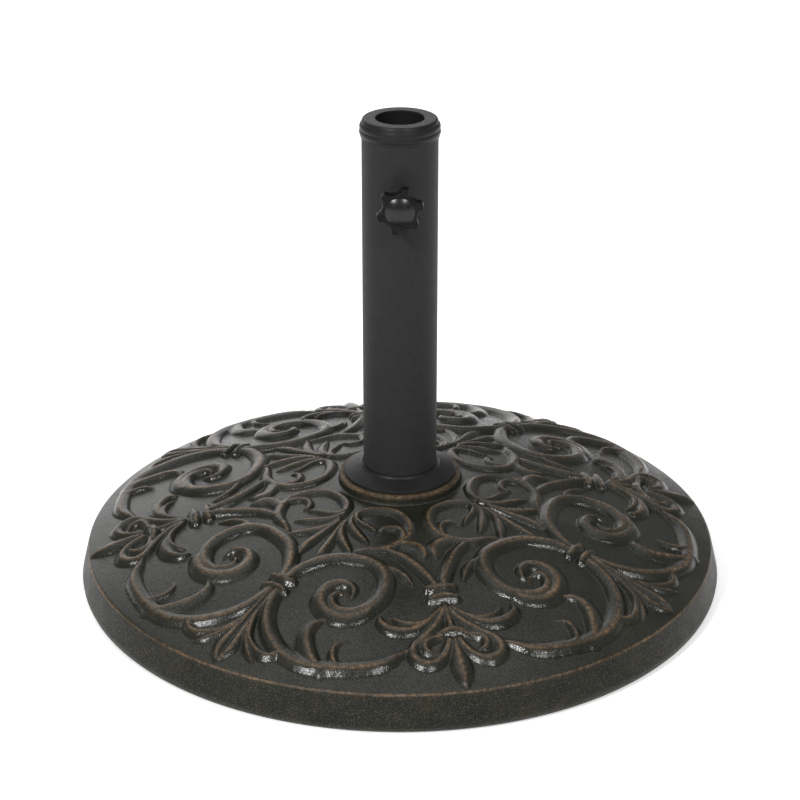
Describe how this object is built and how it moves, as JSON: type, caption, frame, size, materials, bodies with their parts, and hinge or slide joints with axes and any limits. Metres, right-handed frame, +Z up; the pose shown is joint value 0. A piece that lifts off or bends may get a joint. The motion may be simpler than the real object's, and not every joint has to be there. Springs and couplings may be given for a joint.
{
  "type": "parasol base",
  "caption": "Round cast parasol base with scroll relief, a stand tube for the pole, a lift-up foot cover ring and a star clamp knob.",
  "frame": {"origin": "on the floor under the middle of the stand tube", "axes": "+Z up along the stand tube; the clamp knob faces -Y"},
  "size_m": [0.6, 0.6, 0.444],
  "materials": {
    "cast_stone": "oil-rubbed bronze, worn on the high edges",
    "coated_steel": "matt powder coat",
    "black_plastic": "satin moulded",
    "knob_plastic": "fine textured",
    "gloss_black": "polished",
    "pad_plastic": "satin",
    "zinc_steel": "zinc plated",
    "plain_steel": "plain drawn steel",
    "foot_rubber": "matt"
  },
  "bodies": {
    "base": {"cast_weight": "cast_stone", "reinforcing_hoop": "plain_steel", "threaded_sockets": "zinc_steel", "rubber_feet": "foot_rubber", "stand_tube": "coated_steel", "tube_flange": "coated_steel", "foot_weld": "coated_steel", "flange_screws": "zinc_steel", "spring_washers": "zinc_steel", "tube_cap": "black_plastic", "lower_guide": "black_plastic", "pole_rest": "foot_rubber", "clamp_nut": "plain_steel"},
    "cover_ring": {"trim_collar": "black_plastic"},
    "clamp_pad": {"pressure_pad": "pad_plastic"},
    "clamp_knob": {"clamp_stud": "zinc_steel", "star_knob": "knob_plastic", "knob_insert": "gloss_black"}
  },
  "joints": [
    {"name": "cover_lift", "type": "slide", "parent": "base", "child": "cover_ring", "axis": [0, 0, 1], "range_m": [0, 0.235]},
    {"name": "clamp_feed", "type": "slide", "parent": "base", "child": "clamp_pad", "axis": [0, 1, 0], "range_m": [0, 0.0075]},
    {"name": "knob_turn", "type": "hinge", "parent": "clamp_pad", "child": "clamp_knob", "pos_m": [0, -0.045, 0.377], "axis": [0, 1, 0], "range_deg": [0, 2160]}
  ],
  "couplings": [
    {"joint": "knob_turn", "follows": "clamp_feed", "rad_per_m": 5026.5}
  ]
}
